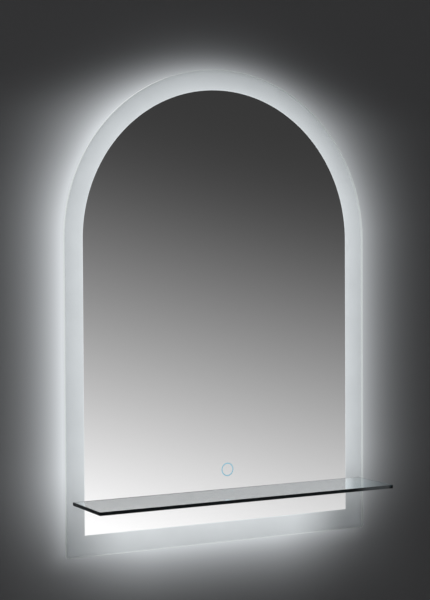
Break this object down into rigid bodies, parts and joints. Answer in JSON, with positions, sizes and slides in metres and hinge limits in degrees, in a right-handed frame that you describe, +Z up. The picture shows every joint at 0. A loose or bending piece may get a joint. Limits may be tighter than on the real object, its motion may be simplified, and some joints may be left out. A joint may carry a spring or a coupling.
{
  "type": "lighted bathroom mirror",
  "caption": "Arched wall mirror with a frosted lit border, a halo light frame behind it, a touch switch and a clear glass shelf; it lifts off a wall rail.",
  "frame": {"origin": "midway between the wall rail's two screw slots, on the wall's surface", "axes": "+X to the right seen from the front, +Y back into the wall, +Z up; the mirror faces -Y"},
  "size_m": [0.5, 0.1253, 0.7],
  "materials": {
    "clear_glass": "polished",
    "silvering": "mirror",
    "etched_glass": "satin etched",
    "shelf_glass": "polished",
    "clear_adhesive": "clear",
    "satin_aluminium": "satin anodised",
    "mill_aluminium": "mill finish",
    "zinc_steel": "zinc plated",
    "white_powder_coat": "fine powder coat",
    "foam_tape": "closed cell foam",
    "black_rubber": "matt",
    "opal_plastic": "opal",
    "strip_board": "white solder mask",
    "light_chip": "lit",
    "black_plastic": "fine spark texture",
    "white_plastic": "moulded",
    "circuit_board": "green solder mask",
    "blue_ring": "lit",
    "copper": "bare",
    "brass_screw": "bright",
    "dark_foam": "open cell foam",
    "heater_film": "film over a printed track",
    "dark_components": "moulded",
    "nylon": "natural",
    "grey_cable": "smooth sheath",
    "white_cable": "smooth sheath"
  },
  "bodies": {
    "rail": {"wall_rail": "mill_aluminium"},
    "mirror": {"mirror_glass": "clear_glass", "silver_coating": "silvering", "frosted_border": "etched_glass", "shelf_glass": "shelf_glass", "shelf_bond": "clear_adhesive", "light_frame_arch": "satin_aluminium", "light_frame_base": "satin_aluminium", "corner_keys": "mill_aluminium", "corner_key_screws": "zinc_steel", "bond_tape": "foam_tape", "light_strip_arch": "strip_board", "light_strip_base": "strip_board", "light_chips_arch": "light_chip", "light_chips_base": "light_chip", "opal_cover_arch": "opal_plastic", "opal_cover_base": "opal_plastic", "hanging_cleat": "mill_aluminium", "cleat_rivets": "zinc_steel", "back_plate": "white_powder_coat", "back_plate_screws": "zinc_steel", "cable_grommet": "black_rubber", "wall_feet": "black_rubber", "touch_case": "black_plastic", "touch_lid": "black_plastic", "touch_board": "circuit_board", "touch_ring": "blue_ring", "touch_electrode": "copper", "touch_foam": "dark_foam", "touch_lights": "blue_ring", "demister_pad": "heater_film", "demister_tail": "white_plastic", "driver_case": "white_plastic", "driver_lid": "white_plastic", "driver_lid_screws": "zinc_steel", "driver_board": "circuit_board", "driver_parts": "dark_components", "driver_connectors": "nylon", "driver_pad": "foam_tape", "terminal_box": "white_plastic", "terminal_lid": "white_plastic", "terminal_lid_screws": "zinc_steel", "terminal_block": "nylon", "terminal_screws": "brass_screw", "terminal_pad": "foam_tape", "supply_lead": "grey_cable", "side_light_lead": "white_cable", "lower_light_lead": "white_cable", "touch_lead": "white_cable", "demister_lead": "white_cable", "lead_clip": "white_plastic"}
  },
  "joints": [
    {"name": "lift_off", "type": "slide", "parent": "rail", "child": "mirror", "axis": [0, 0, 1], "range_m": [0, 0.014]}
  ]
}
